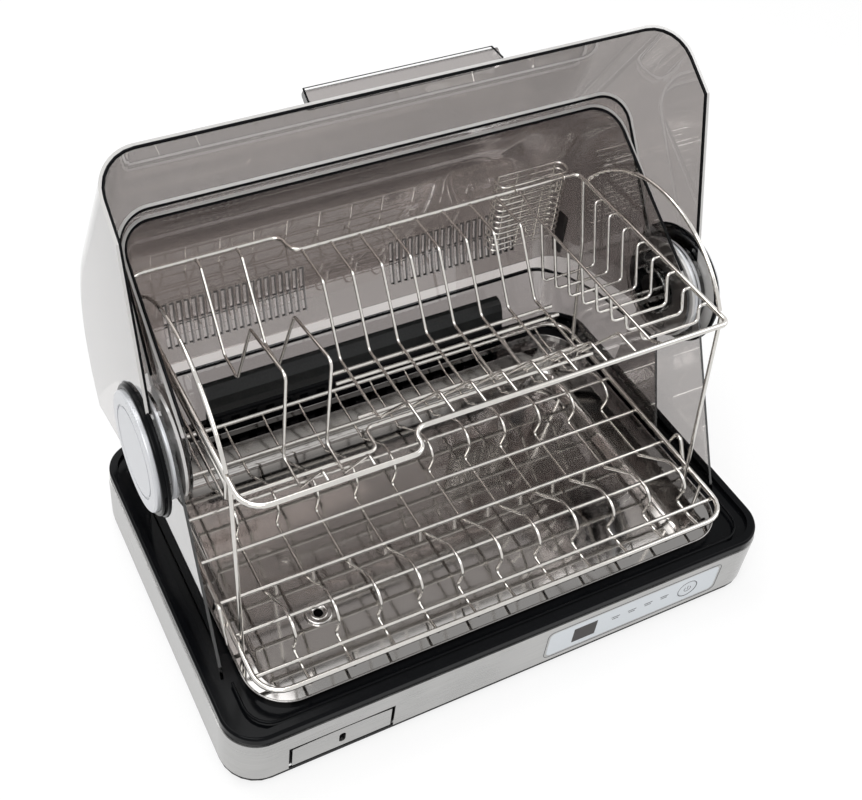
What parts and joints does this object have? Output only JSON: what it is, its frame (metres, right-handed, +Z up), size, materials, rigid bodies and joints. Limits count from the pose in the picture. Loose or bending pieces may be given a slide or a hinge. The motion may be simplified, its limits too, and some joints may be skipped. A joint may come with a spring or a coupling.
{
  "type": "dish dryer",
  "caption": "Countertop dish dryer: steel-banded base with drip basin and drain drawer, wire racks in two tiers, and a smoked hood of nested covers that swing down over them.",
  "frame": {"origin": "on the standing surface, under the middle of the base's rounded rectangle", "axes": "+X to the right seen from the front, +Y to the back, +Z up"},
  "size_m": [0.547, 0.3926, 0.4609],
  "materials": {
    "smoked_plastic": "clear smoked",
    "brushed_band": "brushed",
    "polished_steel": "polished",
    "black_plastic": "semi gloss",
    "rubber": "matte",
    "panel_plastic": "satin",
    "dark_window": "gloss",
    "circuit_board": "matte",
    "silver_plastic": "satin silver",
    "plain_steel": "plain",
    "rack_wire": "bright wire"
  },
  "bodies": {
    "base_body": {"air_outlet": "black_plastic", "air_riser": "black_plastic", "bottom_pan": "black_plastic", "control_board": "circuit_board", "control_panel": "panel_plastic", "cover_seal": "black_plastic", "cup_posts": "rack_wire", "cutlery_cage": "rack_wire", "deck": "black_plastic", "display_window": "dark_window", "drain_ring": "polished_steel", "drain_spout": "black_plastic", "drip_basin": "polished_steel", "fan_housing": "black_plastic", "fan_motor": "plain_steel", "heater": "plain_steel", "hinge_pin_left": "plain_steel", "hinge_pin_right": "plain_steel", "hinge_screws": "plain_steel", "hub_drum_left": "smoked_plastic", "hub_drum_right": "smoked_plastic", "inner_cap_left": "black_plastic", "inner_cap_right": "black_plastic", "lower_rack_feet": "rack_wire", "lower_rack_frame": "rack_wire", "pan_screws": "plain_steel", "plate_dividers": "rack_wire", "plate_prongs": "rack_wire", "plate_waves": "rack_wire", "rack_arches": "rack_wire", "rack_floor_wires": "rack_wire", "rear_cover": "smoked_plastic", "rear_skirt": "smoked_plastic", "rubber_feet": "rubber", "shelf_hoops": "rack_wire", "shelf_rail": "rack_wire", "side_guard_left": "smoked_plastic", "side_guard_right": "smoked_plastic", "silver_ring_left": "silver_plastic", "silver_ring_right": "silver_plastic", "steel_band": "brushed_band", "tray_guides": "black_plastic", "upper_rack_frame": "rack_wire"},
    "front_cover_body": {"front_cover": "smoked_plastic", "hub_cap_left": "silver_plastic", "hub_cap_right": "silver_plastic", "hub_trim_left": "black_plastic", "hub_trim_right": "black_plastic"},
    "mid_cover_body": {"mid_cover": "smoked_plastic"},
    "drawer_body": {"drain_tray": "black_plastic", "tray_face": "brushed_band"},
    "button_body": {"power_button": "panel_plastic"},
    "fan_body": {"fan_wheel": "black_plastic"}
  },
  "joints": [
    {"name": "front_cover_hinge", "type": "hinge", "parent": "base_body", "child": "front_cover_body", "pos_m": [0, 0.0277, 0.2233], "axis": [1, 0, 0], "range_deg": [0, 147]},
    {"name": "mid_cover_hinge", "type": "hinge", "parent": "base_body", "child": "mid_cover_body", "pos_m": [0, 0.0277, 0.2233], "axis": [1, 0, 0], "range_deg": [0, 66]},
    {"name": "drawer_slide", "type": "slide", "parent": "base_body", "child": "drawer_body", "axis": [0, -1, 0], "range_m": [0, 0.1]},
    {"name": "button_press", "type": "slide", "parent": "base_body", "child": "button_body", "axis": [0, 1, 0], "range_m": [0, 0.0008], "stiffness_N_per_m": 900},
    {"name": "fan_spin", "type": "hinge", "parent": "base_body", "child": "fan_body", "pos_m": [0.12, 0.062, 0.02], "axis": [0, 0, 1], "continuous": true}
  ],
  "couplings": [
    {"joint": "mid_cover_hinge", "follows": "front_cover_hinge", "ratio": 0.4489}
  ]
}
